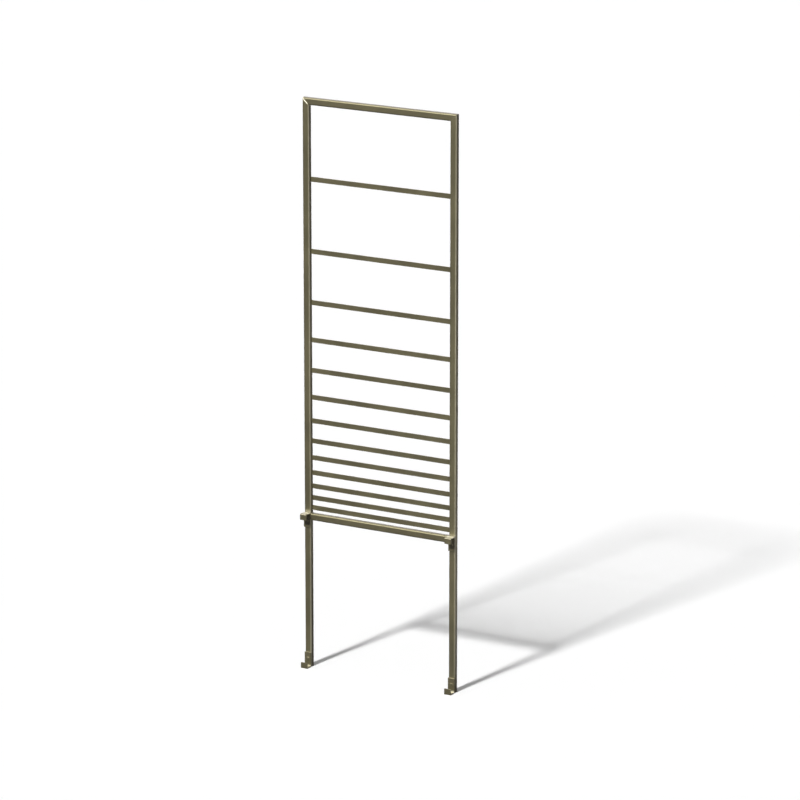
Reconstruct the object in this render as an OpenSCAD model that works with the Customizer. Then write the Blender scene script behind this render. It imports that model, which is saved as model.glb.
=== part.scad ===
// Metal trellis. A tall, narrow welded frame of rounded rectangular tube carries thirteen
// flat slats that close up towards a bottom rail. Below that rail the two posts run on as
// legs. Four bent strip hooks are screwed to the fronts of the posts: the upper pair goes
// over the rim of a planter's back wall, the lower pair takes the foot of the same wall.
// Millimetres, +Z up, X along the slats, -Y towards the hooks. The origin is on the floor,
// midway between the posts and midway between the hook lips' fronts and the posts' backs.

/* [Frame] */
// Overall width across both posts
frame_width = 600; // [400:1:900]
// Overall height, floor to the top of the top rail
frame_height = 2025.5; // [1800:0.5:2300]
// Height of the bottom rail's top face above the floor
rail_level = 559.5; // [300:0.5:700]

/* [Tube] */
// Width of the frame tube seen from the front
tube_width = 25; // [20:0.5:35]
// Depth of the frame tube, front to back
tube_depth = 20; // [19:0.5:30]
// Outside corner radius of the tube
tube_corner = 5; // [3.5:0.5:6]
// Wall thickness of the tube
tube_wall = 1.5; // [1:0.25:2.5]
// Width of the shallow groove left along each mitre, front and back
seam_width = 4; // [1:0.5:5]

/* [Slats] */
// Height of each slat's front face
slat_height = 17.5; // [12:0.5:22]
// Thickness of the slat strip
slat_thickness = 2; // [1.5:0.5:4]
// Depth of the slats' front faces behind the posts' front faces
slat_setback = 14; // [6:0.5:14]
// How much lower the end tab is than the slat at its top and at its foot
tab_shoulder = 3; // [2:0.5:4]
// Gap left all round a tab in its slot
tab_gap = 0.1; // [0.05:0.05:0.3]

/* [Hooks] */
// Thickness of the bent strip
strip = 4; // [3:0.5:6]
// Inside radius of the tight bends
bend = 1; // [0.5:0.5:3]
// Outside radius of the tight bends
bend_outside = 3; // [2:0.5:5]
// Distance from the post's front face to the front of the lip
hook_reach = 30; // [27:0.5:50]
// Height of the lip, outside
hook_lip = 21; // [12:0.5:22]
// Height of the plate that lies on the post, outside
hook_plate = 53; // [46:1:80]
// Distance of the screw from the outside of the hook's arm
screw_offset = 30; // [28:0.5:36]
// Height of the upper hooks' arms above the bottom rail's top face
arm_rise = 2.5; // [0:0.5:20]

/* [Fasteners] */
// Diameter of the screw's shank
screw_size = 6; // [5:0.5:6]
// Length of the screw under its head
screw_length = 14; // [12:1:16]
// Diameter of the low flat screw head
head_size = 12; // [11:0.5:13]
// Height of the low flat screw head
head_height = 2.2; // [2:0.1:3]

/* [Hidden] */
$fn = 64;

bronze = [0.36, 0.33, 0.25];
zinc = [0.72, 0.72, 0.70];
black = [0.08, 0.08, 0.08];

// Where the frame stands in the shared box
post_x = (frame_width - tube_width) / 2;
inner_x = frame_width / 2 - tube_width;
post_y = hook_reach / 2;
front_y = post_y - tube_depth / 2;
rail_z = frame_height - tube_width / 2;
rim_level = rail_level + arm_rise;

// The gaps between slats in steps, counted up from the bottom rail. Each gap is a little
// wider than the one below it, so the slats crowd together at the foot of the frame.
gap_steps = [3.1, 6, 7, 8, 9, 10, 12, 14, 16, 18, 22, 30, 42, 43.1];
function steps_below(k) = k < 0 ? 0 : gap_steps[k] + steps_below(k - 1);
step_size = (frame_height - tube_width - rail_level) / steps_below(13);
// Height of the middle of slat number n, where slat 1 is the highest
function slat_z(n) = rail_level + step_size * steps_below(13 - n);

// A slat keeps to the flat part of the post's side, clear of the rounded corner
slat_y = front_y + min(slat_setback, tube_depth - tube_corner - slat_thickness);
tab_height = slat_height - 2 * tab_shoulder;
tab_length = tube_wall + 1;

// The groove along a mitre never reaches through the wall
seam_depth = 0.6 * tube_wall;

// Fastener sizes that follow the screw
nut_body = screw_size + 3;
nut_flange = nut_body + 3;
nut_flange_thickness = 0.8;
nut_length = 14;
nut_collar = nut_body + 2;
nut_collar_length = 3;
fit_gap = 0.1;
socket_size = 4;
socket_depth = 1.5;
head_chamfer = 0.5;
plug_height = 15;
plug_wall = 2.5;
plug_floor = 3;

// Rounded rectangle, centred
module rounded(width, depth, corner) {
    square([width - 2 * corner, depth], center = true);
    square([width, depth - 2 * corner], center = true);
    for (side = [-1, 1]) {
        for (face = [-1, 1]) {
            translate([side * (width / 2 - corner), face * (depth / 2 - corner)])
                circle(corner);
        }
    }
}

// Section of the frame tube, bore and all
module tube_section() {
    difference() {
        rounded(tube_width, tube_depth, tube_corner);
        rounded(tube_width - 2 * tube_wall, tube_depth - 2 * tube_wall, tube_corner - tube_wall);
    }
}

// Block whose lower face is the 45 degree mitre plane of the left top corner. It reaches
// away from the post when upward is true, and away from the rail when it is false.
module mitre_block(upward) {
    size = 3 * tube_width;
    translate([-post_x, post_y, rail_z])
        rotate([0, 45, 0])
            translate([-size / 2, -size / 2, upward ? 0 : -size])
                cube(size);
}

// Diamond-shaped bars that cut the groove along the left mitre, front and back
module mitre_grooves() {
    half = seam_width / 2;
    for (face = [-1, 1]) {
        translate([-post_x, post_y + face * tube_depth / 2, rail_z])
            rotate([0, 45, 0])
                rotate([0, 90, 0])
                    linear_extrude(3 * tube_width, center = true)
                        polygon([[half, 0], [0, seam_depth], [-half, 0], [0, -seam_depth]]);
    }
}

// Slot in the left post's inner face for one slat tab
module tab_slot(z) {
    translate([-inner_x - 2 * tube_wall, slat_y - tab_gap, z - tab_height / 2 - tab_gap])
        cube([3 * tube_wall, slat_thickness + 2 * tab_gap, tab_height + 2 * tab_gap]);
}

// Round hole through the front wall of the left post for a rivet nut
module nut_hole(z) {
    translate([-post_x, front_y + 2 * tube_wall, z])
        rotate([90, 0, 0])
            cylinder(h = 3 * tube_wall, r = nut_body / 2 + fit_gap);
}

// The left post: full height, mitred at the top, open at the foot
module post() {
    color(bronze)
    difference() {
        translate([-post_x, post_y, 0])
            linear_extrude(frame_height)
                tube_section();
        mitre_block(true);
        mitre_grooves();
        for (n = [1 : 13]) {
            tab_slot(slat_z(n));
        }
        nut_hole(screw_offset);
        nut_hole(rim_level - screw_offset);
    }
}

module left_post() {
    post();
}

module right_post() {
    mirror([1, 0, 0])
        post();
}

// The top rail: the same tube between the two mitres
module top_rail() {
    color(bronze)
    difference() {
        translate([-frame_width / 2, post_y, rail_z])
            rotate([0, 90, 0])
                linear_extrude(frame_width)
                    tube_section();
        mitre_block(false);
        mitre_grooves();
        mirror([1, 0, 0]) {
            mitre_block(false);
            mitre_grooves();
        }
    }
}

// The bottom rail: the same tube, cut square and butted between the posts
module bottom_rail() {
    color(bronze)
    translate([-inner_x, post_y, rail_level - tube_width / 2])
        rotate([0, 90, 0])
            linear_extrude(2 * inner_x)
                tube_section();
}

// One slat: a flat strip whose shoulders meet the posts and whose tabs enter them
module slat(n) {
    color(bronze)
    translate([0, slat_y, slat_z(n)]) {
        translate([-inner_x, 0, -slat_height / 2])
            cube([2 * inner_x, slat_thickness, slat_height]);
        translate([-inner_x - tab_length, 0, -tab_height / 2])
            cube([2 * (inner_x + tab_length), slat_thickness, tab_height]);
    }
}

module slat_01() { slat(1); }
module slat_02() { slat(2); }
module slat_03() { slat(3); }
module slat_04() { slat(4); }
module slat_05() { slat(5); }
module slat_06() { slat(6); }
module slat_07() { slat(7); }
module slat_08() { slat(8); }
module slat_09() { slat(9); }
module slat_10() { slat(10); }
module slat_11() { slat(11); }
module slat_12() { slat(12); }
module slat_13() { slat(13); }

// U-shaped outline with its two lower corners rounded. It runs from low to high across
// the hook's reach and from base up to top.
module trough(low, high, base, top, corner) {
    translate([low, base + corner])
        square([high - low, top - base - corner]);
    translate([low + corner, base])
        square([high - low - 2 * corner, corner + 1]);
    translate([low + corner, base + corner])
        circle(corner);
    translate([high - corner, base + corner])
        circle(corner);
}

// Side view of a foot hook: plate on the left, arm below, lip on the right
module hook_side() {
    difference() {
        union() {
            trough(0, hook_reach, 0, hook_lip, bend_outside);
            translate([0, bend_outside])
                square([strip, hook_plate - bend_outside]);
        }
        trough(strip, hook_reach - strip, strip, hook_plate + 1, bend);
    }
}

// A foot hook on the left post, with its screw hole and the hollow for the nut's flange
module foot_hook() {
    color(bronze)
    difference() {
        translate([-post_x, front_y, 0])
            rotate([90, 0, -90])
                linear_extrude(tube_width, center = true)
                    hook_side();
        translate([-post_x, front_y + 1, screw_offset])
            rotate([90, 0, 0])
                cylinder(h = strip + 2, r = screw_size / 2 + 0.3);
        translate([-post_x, front_y + 1, screw_offset])
            rotate([90, 0, 0])
                cylinder(h = 1 + nut_flange_thickness + fit_gap, r = nut_flange / 2 + 0.2);
    }
}

// A rim hook is a foot hook upside down, with its arm a little above the bottom rail
module rim_hook() {
    translate([0, 0, rim_level])
        mirror([0, 0, 1])
            foot_hook();
}

module left_foot_hook() {
    foot_hook();
}

module right_foot_hook() {
    mirror([1, 0, 0])
        foot_hook();
}

module left_rim_hook() {
    rim_hook();
}

module right_rim_hook() {
    mirror([1, 0, 0])
        rim_hook();
}

// Copies its children to the four screw places, on the post's front face, facing -Y
module at_each_screw() {
    for (side = [-1, 1]) {
        for (z = [screw_offset, rim_level - screw_offset]) {
            translate([side * post_x, front_y, z])
                rotate([90, 0, 0])
                    children();
        }
    }
}

// Screw with a low flat head and a six-sided socket, lying along +Z, head at the far end
module screw() {
    seat = strip;
    translate([0, 0, seat - screw_length])
        cylinder(h = screw_length, r = screw_size / 2 - 0.05);
    difference() {
        union() {
            translate([0, 0, seat])
                cylinder(h = head_height - head_chamfer, r = head_size / 2);
            translate([0, 0, seat + head_height - head_chamfer])
                cylinder(h = head_chamfer, r1 = head_size / 2, r2 = head_size / 2 - head_chamfer);
        }
        translate([0, 0, seat + head_height - socket_depth])
            cylinder(h = socket_depth + 1, r = socket_size / sqrt(3), $fn = 6);
    }
}

module hook_screws() {
    color(bronze)
    at_each_screw()
        screw();
}

// Rivet nut: flange outside the wall, collar drawn up behind it, bored through
module rivet_nut() {
    difference() {
        union() {
            cylinder(h = nut_flange_thickness, r = nut_flange / 2);
            translate([0, 0, -nut_length])
                cylinder(h = nut_length, r = nut_body / 2);
            translate([0, 0, -tube_wall - nut_collar_length])
                cylinder(h = nut_collar_length, r = nut_collar / 2);
        }
        translate([0, 0, -nut_length - 1])
            cylinder(h = nut_length + 3, r = screw_size / 2);
    }
}

module rivet_nuts() {
    color(zinc)
    at_each_screw()
        rivet_nut();
}

// Plug pressed into the foot of the left post, flush with the tube's end, hollow above
module foot_plug() {
    width = tube_width - 2 * tube_wall;
    depth = tube_depth - 2 * tube_wall;
    corner = tube_corner - tube_wall;
    color(black)
    translate([-post_x, post_y, 0])
        difference() {
            linear_extrude(plug_height)
                rounded(width - 2 * fit_gap, depth - 2 * fit_gap, corner - fit_gap);
            translate([0, 0, plug_floor])
                linear_extrude(plug_height)
                    square([width - 2 * plug_wall, depth - 2 * plug_wall], center = true);
        }
}

module left_foot_plug() {
    foot_plug();
}

module right_foot_plug() {
    mirror([1, 0, 0])
        foot_plug();
}

left_post();
right_post();
top_rail();
bottom_rail();
slat_01();
slat_02();
slat_03();
slat_04();
slat_05();
slat_06();
slat_07();
slat_08();
slat_09();
slat_10();
slat_11();
slat_12();
slat_13();
left_rim_hook();
right_rim_hook();
left_foot_hook();
right_foot_hook();
hook_screws();
rivet_nuts();
left_foot_plug();
right_foot_plug();
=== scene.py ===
# Metal trellis for the back of a planter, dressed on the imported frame. Metres, +Z up,
# -Y towards the hooks, origin on the floor as in the part's own source.
import math

import bpy
import numpy as np
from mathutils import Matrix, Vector


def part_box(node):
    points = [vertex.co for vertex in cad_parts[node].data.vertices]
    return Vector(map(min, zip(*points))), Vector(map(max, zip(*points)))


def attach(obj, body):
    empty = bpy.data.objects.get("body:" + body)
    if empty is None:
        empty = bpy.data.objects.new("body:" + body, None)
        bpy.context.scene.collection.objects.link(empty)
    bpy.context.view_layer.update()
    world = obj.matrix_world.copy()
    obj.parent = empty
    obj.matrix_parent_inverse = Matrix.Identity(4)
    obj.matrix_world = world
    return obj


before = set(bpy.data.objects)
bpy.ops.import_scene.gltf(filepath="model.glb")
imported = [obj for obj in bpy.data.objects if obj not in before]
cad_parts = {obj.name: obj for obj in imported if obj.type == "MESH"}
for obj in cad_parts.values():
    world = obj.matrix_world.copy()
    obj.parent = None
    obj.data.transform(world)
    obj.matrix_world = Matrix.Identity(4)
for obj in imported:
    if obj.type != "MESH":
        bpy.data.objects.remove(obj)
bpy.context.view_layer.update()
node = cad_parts

# Camera
# Long lens, about fifteen metres away, thirty degrees to the front right of the trellis and
# fifteen degrees above it, as the lines of the posts and slats in the photograph give it.
look_at = Vector((0.0772, 0.0150, 1.0118))
turn, rise, distance = math.radians(29.969), math.radians(15.044), 15.2936
flat = math.cos(rise)
towards = Vector((math.sin(turn) * flat, -math.cos(turn) * flat, math.sin(rise)))
camera = bpy.data.objects.new("camera", bpy.data.cameras.new("camera"))
camera.data.sensor_width = 36.0
camera.data.lens = 202.02
camera.data.clip_end = 200.0
camera.location = look_at + towards * distance
camera.rotation_mode = "QUATERNION"
camera.rotation_quaternion = (-towards).to_track_quat("-Z", "Y")
bpy.context.scene.collection.objects.link(camera)
bpy.context.scene.camera = camera
bpy.context.scene.view_settings.view_transform = "Standard"


# Studio floor
# A wide sheet of pale paper. It is white to the camera. In the metal it shows a painted pool
# of light to the front right, and painted shade elsewhere.
def surface_object(name, points, faces, smooth=True):
    """A mesh object at the origin from an array of points and an array of faces."""
    mesh = bpy.data.meshes.new(name)
    mesh.from_pydata(np.asarray(points, float).tolist(), [], np.asarray(faces, int).tolist())
    mesh.polygons.foreach_set("use_smooth", [smooth] * len(mesh.polygons))
    mesh.update()
    piece = bpy.data.objects.new(name, mesh)
    bpy.context.scene.collection.objects.link(piece)
    return piece


class Shades:
    """Short words for the steps in a tree of nodes. Each gives the socket that holds its
    result, and takes numbers, places, colours or such sockets."""

    def __init__(self, tree):
        self.nodes, self.link = tree.nodes, tree.links.new

    def source(self, kind):
        """The sockets that a node of this kind gives."""
        return self.nodes.new("ShaderNode" + kind).outputs

    def put(self, value, socket):
        """Links a socket to another one, or gives it a number, a place or a colour."""
        if hasattr(value, "is_output"):
            self.link(value, socket)
        elif socket.type == "RGBA":
            socket.default_value = (*value, 1)
        else:
            socket.default_value = value

    def sum(self, operation, *values, kind="Math"):
        """One sum of the values, given by the name of its operation."""
        step = self.nodes.new("ShaderNode" + kind)
        step.operation = operation
        for value, socket in zip(values, step.inputs):
            self.put(value, socket)
        return step.outputs["Value"]

    def fade(self, value, none_at, full_at, low=0.0, high=1.0):
        """Goes smoothly from low to high as the value goes from none_at to full_at."""
        step = self.nodes.new("ShaderNodeMapRange")
        step.interpolation_type = "SMOOTHSTEP"
        step.inputs["From Min"].default_value = none_at
        step.inputs["From Max"].default_value = full_at
        step.inputs["To Min"].default_value = low
        step.inputs["To Max"].default_value = high
        self.put(value, step.inputs["Value"])
        return step.outputs["Result"]

    def mix(self, share, first, second, kind="MIX"):
        """The first colour at a share of 0, the second at 1."""
        mixer = self.nodes.new("ShaderNodeMix")
        mixer.data_type = "RGBA"
        mixer.blend_type = kind
        self.put(share, mixer.inputs["Factor"])
        self.put(first, mixer.inputs["A"])
        self.put(second, mixer.inputs["B"])
        return mixer.outputs["Result"]


floor_half = 60.0
floor = surface_object(
    "studio_floor",
    floor_half * np.array([(-1, -1, 0), (1, -1, 0), (1, 1, 0), (-1, 1, 0)]),
    [(0, 1, 2, 3)],
    smooth=False,
)
# Painted pool of light and painted shade on the floor, seen only in the metal's reflections.
pool_middle, bright_within, dark_beyond = (4.2, -1.3, 0), 3.8, 4.1
bright, dark, plain_white = (0.88, 0.88, 1.0), (0.09, 0.09, 0.11), (1.0, 1.0, 1.0)
paper = bpy.data.materials.new("floor_paper")
paper.use_nodes = True
sheet = paper.node_tree.nodes["Principled BSDF"].inputs
sheet["Roughness"].default_value = 1.0
sheet["Specular IOR Level"].default_value = 0.0
shades = Shades(paper.node_tree)
place, rays = shades.source("TexCoord"), shades.source("LightPath")
from_pool = shades.sum("DISTANCE", place["Object"], pool_middle, kind="VectorMath")
in_metal = shades.mix(shades.fade(from_pool, bright_within, dark_beyond), bright, dark)
shades.put(shades.mix(rays["Is Camera Ray"], in_metal, plain_white), sheet["Base Color"])
floor.data.materials.append(paper)


# Studio lamps
# The key lamp stands in front, seven degrees to the left and 43 degrees up, and throws the
# slats' shadow back over the floor. A second lamp in the same place shows in metal only, as
# a card on the right does. In metal the room is white behind and to the left, else dark.
middle = (0, 0, 1)


def lamp(name, kind, place, strength, **settings):
    """A lamp at a place, turned to shine at the trellis's middle, with its own settings."""
    data = bpy.data.lights.new(name, kind)
    data.energy = strength
    for key, value in settings.items():
        setattr(data, key, value)
    item = bpy.data.objects.new(name, data)
    item.location = place
    item.rotation_mode = "QUATERNION"
    item.rotation_quaternion = (Vector(middle) - Vector(place)).to_track_quat("-Z", "Y")
    item.visible_camera = False
    bpy.context.scene.collection.objects.link(item)
    return item


def from_front(turn_deg, rise_deg, reach):
    """Point at a distance from the trellis's middle, turned to the right and raised."""
    side, up = math.radians(turn_deg), math.radians(rise_deg)
    flat = reach * math.cos(up)
    return (flat * math.sin(side), -flat * math.cos(side), middle[2] + reach * math.sin(up))


key_place, key_width = from_front(-7.4, 43.0, 9), math.radians(5.6)
key_strength, glint_strength, card_strength = 3.3, 4.4, 120.0
lamp("key_lamp", "SUN", key_place, key_strength, angle=key_width)
glint = lamp("key_lamp_glint", "SUN", key_place, glint_strength, angle=key_width)
glint.visible_diffuse = False
card = lamp("side_card", "AREA", from_front(60, -8, 5), card_strength, size=1.5)
card.data.color = (0.95, 0.95, 1.0)
card.visible_diffuse = False

world = bpy.data.worlds.new("studio")
bpy.context.scene.world = world
world.use_nodes = True
back_left, dark_until, white_from = (-0.6, 0.8, 0), 0.0, 0.45
dark, white, soft_grey = (0.10, 0.10, 0.12), (1.0, 0.96, 1.0), (0.29, 0.29, 0.29)
surround = world.node_tree.nodes["Background"].inputs
surround["Strength"].default_value = 1.0
shades = Shades(world.node_tree)
place, rays = shades.source("TexCoord"), shades.source("LightPath")
backwards = shades.sum("DOT_PRODUCT", place["Generated"], back_left, kind="VectorMath")
room = shades.mix(shades.fade(backwards, dark_until, white_from), dark, white)
on_trellis = shades.mix(rays["Is Glossy Ray"], soft_grey, room)
shades.put(shades.mix(rays["Is Camera Ray"], on_trellis, plain_white), surround["Color"])


# Posts and top rail
# Rounded steel tube, mitred and welded at the two top corners and coated in one go with a
# satin metallic bronze powder. A highlight is painted in pale metal in the groove of the left
# mitre; fainter painted reflections lie above the arms of the upper hooks, and a painted
# highlight on the left leg's inner front edge.
class Finish(Shades):
    """A material of the trellis, and short words for the steps in it."""

    def __init__(self, name):
        self.material = bpy.data.materials.new(name)
        self.material.use_nodes = True
        super().__init__(self.material.node_tree)
        self.shader = self.nodes["Principled BSDF"]
        self.place = self.source("TexCoord")["Object"]

    def set(self, quality, value):
        """Gives the shader's own socket of that name a value."""
        self.put(value, self.shader.inputs[quality])

    def times(self, product, *others):
        """The product of all the values."""
        for other in others:
            product = self.sum("MULTIPLY", product, other)
        return product

    def most(self, largest, *others):
        """The largest of the values."""
        for other in others:
            largest = self.sum("MAXIMUM", largest, other)
        return largest

    def by_side(self, x, left, right, nothing_within=0.1):
        """One level on the left post or hook and another on the right one."""
        return self.fade(x, -nothing_within, nothing_within, left, right)

    def noise(self, scale, detail):
        texture = self.nodes.new("ShaderNodeTexNoise")
        texture.inputs["Scale"].default_value = scale
        texture.inputs["Detail"].default_value = detail
        self.link(self.place, texture.inputs["Vector"])
        return texture.outputs["Fac"]

    def relief(self, height, strength, depth):
        """Bumps the surface by a height from 0 to 1, where 1 stands for the depth in metres."""
        bump = self.nodes.new("ShaderNodeBump")
        bump.inputs["Strength"].default_value = strength
        bump.inputs["Distance"].default_value = depth
        self.link(height, bump.inputs["Height"])
        self.set("Normal", bump.outputs["Normal"])


def bronze_coat(name, highlight_mask):
    """Metallic bronze under a satin clear layer: cloudy colour, flakes and orange peel. The
    function it is given says how strong a painted highlight is at a point; there the coat
    gives way to a pale, dull metal colour that paints it, a little broken by a fine noise."""
    # The pale colour paints highlights; the two others are the coat's own cloudy tones.
    deep, light, highlight_pale = (0.174, 0.155, 0.084), (0.194, 0.173, 0.094), (0.86, 0.82, 0.64)
    flake_share, highlight_smoother, highlight_duller = 0.12, 0.05, 0.7
    coat = Finish(name)
    clouds = coat.noise(scale=9.0, detail=3.0)
    colour = coat.mix(coat.fade(clouds, 0.3, 0.7), deep, light)
    colour = coat.mix(flake_share, colour, coat.noise(scale=2600.0, detail=1.0), "OVERLAY")
    roughness = coat.fade(clouds, 0.3, 0.7, 0.53, 0.57)
    apart = coat.nodes.new("ShaderNodeSeparateXYZ")
    coat.link(coat.place, apart.inputs[0])
    highlight = highlight_mask(coat, apart.outputs["X"], apart.outputs["Y"], apart.outputs["Z"])
    broken = coat.fade(coat.noise(scale=420.0, detail=3.0), 0.25, 0.6, 0.75, 1.0)
    highlight = coat.sum("MINIMUM", coat.times(highlight, broken), 1.0)
    coat.set("Base Color", coat.mix(highlight, colour, highlight_pale))
    coat.set("Roughness", coat.sum("SUBTRACT", roughness, coat.times(highlight, highlight_smoother)))
    coat.set("Metallic", coat.sum("SUBTRACT", 1.0, coat.times(highlight, highlight_duller)))
    coat.relief(coat.noise(scale=700.0, detail=2.0), strength=0.25, depth=0.00006)
    coat.set("Coat Weight", 1.0)
    coat.set("Coat Roughness", 0.35)
    return coat.material


post_low, post_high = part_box("left_post")
post_front, frame_top, inner_x = post_low.y, post_high.z, -post_high.x
tube_width = post_high.x - post_low.x
post_middle = inner_x + tube_width / 2
rail_middle = frame_top - tube_width / 2
arm_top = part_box("left_rim_hook")[1].z


def painted_highlights_on_posts(coat, x, y, z):
    """Painted highlight in the left mitre's groove, from its outer end almost to the inner
    one, and painted reflection on each post's front above the upper arm, reaching higher on
    the left. A faint painted highlight on the left leg's inner front edge grows towards the
    foot."""
    groove_half, groove_edge, groove_lift = 0.0023, 0.0005, 0.0004
    above_level, above_tilt, leg_level = 0.20, 0.010, 0.2
    inward = coat.sum("ADD", x, post_middle)
    below = coat.sum("SUBTRACT", z, rail_middle + groove_lift)
    across = coat.sum("ABSOLUTE", coat.sum("ADD", inward, below))
    seam = coat.times(
        coat.fade(across, groove_half + groove_edge, groove_half),
        coat.fade(y, post_front + 0.0080, post_front + 0.0020),
        coat.fade(z, rail_middle - 0.0095, rail_middle - 0.0060),
    )
    height = coat.sum("ADD", z, coat.times(x, above_tilt))
    above = coat.times(
        coat.fade(height, arm_top + 0.0105, arm_top - 0.0010, 0.0, above_level),
        coat.fade(z, arm_top - 0.0010, arm_top),
        coat.fade(y, post_front + 0.0045, post_front + 0.0020),
    )
    leg = coat.times(
        coat.fade(z, 0.50, 0.05, 0.0, leg_level),
        coat.fade(y, post_front + 0.0060, post_front + 0.0035),
        coat.fade(x, -inner_x - 0.0050, -inner_x - 0.0030),
        coat.by_side(x, 1.0, 0.0),
    )
    return coat.most(seam, above, leg)


# The frame's coat carries the painted highlights and painted reflection above.
frame_coat = bronze_coat("frame_coat", painted_highlights_on_posts)


def dress(name, material, edge=0.0):
    """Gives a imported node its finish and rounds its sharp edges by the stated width."""
    item = node[name]
    item.data.materials.clear()
    item.data.materials.append(material)
    if edge > 0:
        weld = item.modifiers.new("weld", "WELD")
        weld.merge_threshold = 0.00001
        bevel = item.modifiers.new("edges", "BEVEL")
        bevel.width = edge
        bevel.segments = 2
        bevel.limit_method = "ANGLE"
        bevel.angle_limit = math.radians(35)
        bevel.use_clamp_overlap = True
        normals = item.modifiers.new("normals", "WEIGHTED_NORMAL")
        normals.weight = 100
        normals.keep_sharp = True


for name in ("left_post", "right_post", "top_rail"):
    dress(name, frame_coat)


# Inner corners of the mitres
# A short fillet weld runs front to back in each corner between a post and the top rail. Like
# every weld bead here it is deposited steel, laid before the frame was coated.
def seam_points(x, y, z):
    """Points along a seam, from one place or an array of places on each axis."""
    return np.stack(np.broadcast_arrays(x, y, z), axis=1)


def beads(name, runs, radius, around=10):
    """Weld beads. Each run is the points along a seam, and whether it closes. A ring of points
    is carried along it, square to it. The ring's radius swells by a tenth, as the sine of the
    step, and falls over the last two steps to an open end, as a square root. A flat cap shuts
    that end: its quads join the ring's points across it, in pairs from one side."""
    ripple, ripple_pace, taper_steps, least_share = 0.1, 1.9, 2.0, 0.02
    no_seam_this_way = (0.31, 0.67, 0.68)
    points, faces, start = [], [], 0
    turn = np.linspace(0, 2 * np.pi, around, endpoint=False)[None, :, None]
    for run, closed in runs:
        count = len(run)
        ahead = np.roll(run, -1, axis=0) - np.roll(run, 1, axis=0)
        if not closed:
            ahead[0], ahead[-1] = run[1] - run[0], run[-1] - run[-2]
        ahead /= np.linalg.norm(ahead, axis=1)[:, None]
        side = np.cross(ahead, no_seam_this_way)
        side /= np.linalg.norm(side, axis=1)[:, None]
        up = np.cross(ahead, side)
        step = np.arange(count)
        swell = radius * (1 + ripple * np.sin(step * ripple_pace))
        if not closed:
            to_end = np.minimum(step, count - 1 - step)
            swell *= np.sqrt(np.clip(to_end / taper_steps, least_share, 1))
        ring = np.cos(turn) * side[:, None] + np.sin(turn) * up[:, None]
        points.append((run[:, None] + ring * swell[:, None, None]).reshape(-1, 3))
        last = count if closed else count - 1
        i, j = np.meshgrid(np.arange(last), np.arange(around), indexing="ij")
        near, far = i * around, (i + 1) % count * around
        j_next = (j + 1) % around
        quads = np.stack((near + j, near + j_next, far + j_next, far + j), -1)
        faces.append(quads.reshape(-1, 4) + start)
        if not closed:
            k = np.arange(around // 2 - 1)
            cap = np.stack((k, k + 1, around - 2 - k, around - 1 - k), -1)
            faces += [cap[:, ::-1] + start, cap + start + last * around]
        start += count * around
    piece = surface_object(name, np.concatenate(points), np.concatenate(faces))
    piece.data.materials.append(frame_coat)
    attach(piece, "root")


rail_under, corner_gap, bead_points = frame_top - tube_width, 0.0006, 12
depth = np.linspace(post_front + 0.0045, post_front + 0.0155, bead_points)
corner_runs = []
for side in (-1, 1):
    run = seam_points(side * (inner_x - corner_gap), depth, rail_under - corner_gap)
    corner_runs.append((run, False))
beads("mitre_corner_welds", corner_runs, radius=0.0018)

# Bottom rail
# The same tube cut square between the posts, where a weld runs all round each end. It fills
# the hollow beside the post's rounded corners, so its front and back lie further in.
dress("bottom_rail", frame_coat)
bead_gap, ring_points, bead_steps = 0.0004, 96, 110
end_corner, further_in, in_from_top = 0.0052, 0.0018, 0.0002
rail_low, rail_high = np.array(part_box("bottom_rail"))
rail_y, rail_z = (rail_low + rail_high)[1:] / 2
half_y, half_z = (rail_high - rail_low)[1:] / 2 - (further_in, in_from_top)
angles = np.linspace(0, 2 * np.pi, ring_points, endpoint=False)
out_y = np.sign(np.cos(angles)) * (half_y - end_corner) + end_corner * np.cos(angles)
out_z = np.sign(np.sin(angles)) * (half_z - end_corner) + end_corner * np.sin(angles)
rail_runs = []
for side in (-1, 1):
    ring = seam_points(side * (inner_x - bead_gap), rail_y + out_y, rail_z + out_z)
    closed_ring = np.concatenate((ring, ring[:1]))
    lengths = np.linalg.norm(np.diff(closed_ring, axis=0), axis=1)
    travel = np.concatenate(([0.0], np.cumsum(lengths)))
    even = np.linspace(0, travel[-1], bead_steps, endpoint=False)
    run = np.stack([np.interp(even, travel, places) for places in closed_ring.T], axis=1)
    rail_runs.append((run, True))
beads("rail_end_welds", rail_runs, radius=0.0014)

# Slats
# Thirteen flat strips, sheared to length with a narrow tab at each end that enters a slot
# in the post. A short weld behind each end holds it.
slat_bead_half, behind_slat = 0.0072, 0.0002
slat_runs = []
for number in range(1, 14):
    name = "slat_%02d" % number
    dress(name, frame_coat, edge=0.00025)
    slat_low, slat_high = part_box(name)
    slat_middle = (slat_low.z + slat_high.z) / 2
    climb = slat_middle + np.linspace(-slat_bead_half, slat_bead_half, bead_points)
    for side in (-1, 1):
        run = seam_points(side * (inner_x - bead_gap), slat_high.y + behind_slat, climb)
        slat_runs.append((run, False))
beads("slat_welds", slat_runs, radius=0.0011, around=8)

# Hooks
# Flat strip bent tightly to a U with one long leg, which lies on the post's front face.
# Highlights are painted in pale metal on the upper arms and inside the lower hooks.
hook_low, hook_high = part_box("left_foot_hook")
strip = 0.004
lip_front, lip_back = hook_low.y, hook_low.y + strip
plate_front, plate_top = hook_high.y - strip, hook_high.z


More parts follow.
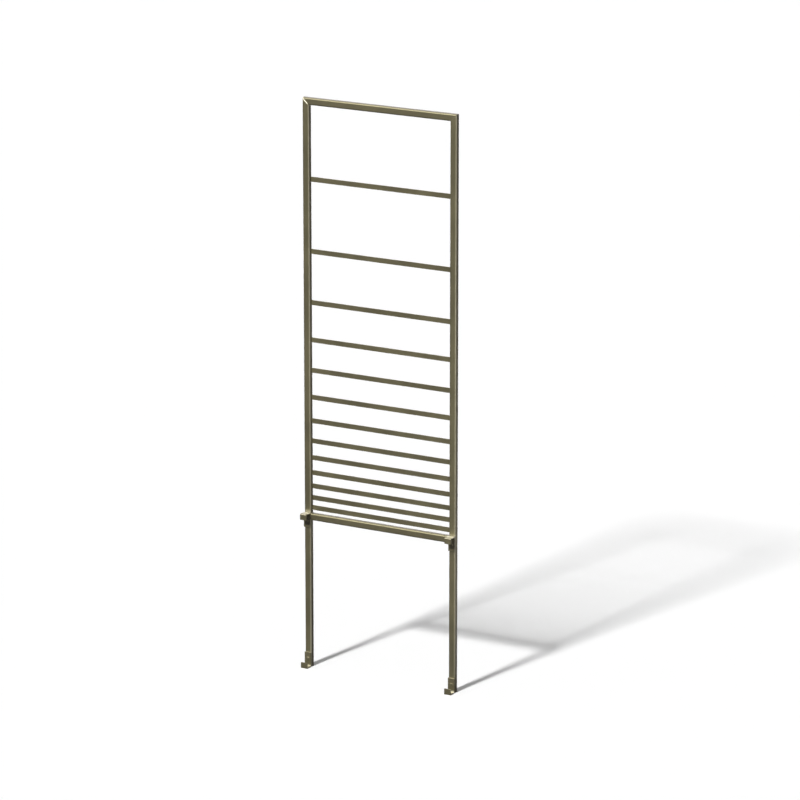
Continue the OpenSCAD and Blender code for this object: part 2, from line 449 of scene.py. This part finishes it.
def painted_highlights_on_hooks(coat, x, y, z):
    """Painted highlight on top of the upper arms, most of all near their middle, and on the
    seats, the bends and the plates' top edges of the lower hooks, stronger on the right hooks."""
    outer_part = coat.fade(y, lip_front + 0.008, lip_front + 0.017, 0.25, 1.15)
    inner_part = coat.fade(y, lip_front + 0.018, lip_front + 0.024, 0.0, 0.45)
    right_extra = coat.times(
        coat.by_side(x, 0.0, 1.0),
        coat.fade(y, lip_front + 0.006, lip_front + 0.013, 0.0, 0.25),
    )
    along_arm = coat.sum("ADD", coat.sum("SUBTRACT", outer_part, inner_part), right_extra)
    arm = coat.times(coat.fade(z, arm_top - 0.0022, arm_top - 0.0010), along_arm)
    before_plate = coat.fade(y, plate_front + 0.0006, plate_front + 0.0001)
    seat = coat.times(
        coat.fade(z, strip - 0.0006, strip - 0.0001),
        coat.fade(z, strip + 0.0020, strip + 0.0012),
        coat.fade(y, lip_back - 0.0006, lip_back + 0.0004),
        before_plate,
        coat.by_side(x, 0.30, 0.55),
    )
    heel = coat.times(
        coat.fade(z, strip + 0.0085, strip + 0.0005),
        before_plate,
        coat.fade(y, plate_front - 0.011, plate_front - 0.003),
        coat.by_side(x, 0.36, 0.75),
    )
    edge = coat.times(
        coat.fade(z, plate_top - 0.0010, plate_top - 0.0003),
        coat.fade(z, plate_top + 0.0070, plate_top + 0.0060, 0.0, 0.2),
    )
    return coat.most(arm, seat, heel, edge)


# The hooks' coat carries the painted highlights above.
hook_coat = bronze_coat("hook_coat", painted_highlights_on_hooks)
for name in ("left_rim_hook", "right_rim_hook", "left_foot_hook", "right_foot_hook"):
    dress(name, hook_coat, edge=0.0004)


# Screws and rivet nuts
# Low flat-headed screws, coated with the frame, hold the hooks. They turn in zinc-plated
# rivet nuts, which are drawn into the posts' front walls.
def zinc_plate():
    """Bright zinc plating: pale metal, whose tone and relief follow one fine cloud."""
    zinc = Finish("zinc_plate")
    cloud = zinc.noise(scale=600.0, detail=3.0)
    zinc.set("Base Color", zinc.mix(cloud, (0.50, 0.50, 0.49), (0.66, 0.66, 0.63)))
    zinc.relief(cloud, strength=0.2, depth=0.00005)
    zinc.set("Metallic", 1.0)
    zinc.set("Roughness", 0.32)
    return zinc.material


dress("hook_screws", frame_coat, edge=0.0002)
dress("rivet_nuts", zinc_plate())


# Foot plugs
# Black moulded plastic, hollow above, pressed into the open foot of each post. The plug is
# flush with the post's end.
def moulded_black():
    """Black polyethylene with a fine spark-eroded grain, in its tone and its relief."""
    plastic = Finish("moulded_black")
    grain = plastic.noise(scale=1500.0, detail=2.0)
    plastic.set("Base Color", plastic.mix(grain, (0.016, 0.016, 0.017), (0.030, 0.030, 0.031)))
    plastic.relief(grain, strength=0.4, depth=0.00008)
    plastic.set("Roughness", 0.6)
    return plastic.material


plug_black = moulded_black()
for name in ("left_foot_plug", "right_foot_plug"):
    dress(name, plug_black, edge=0.0004)
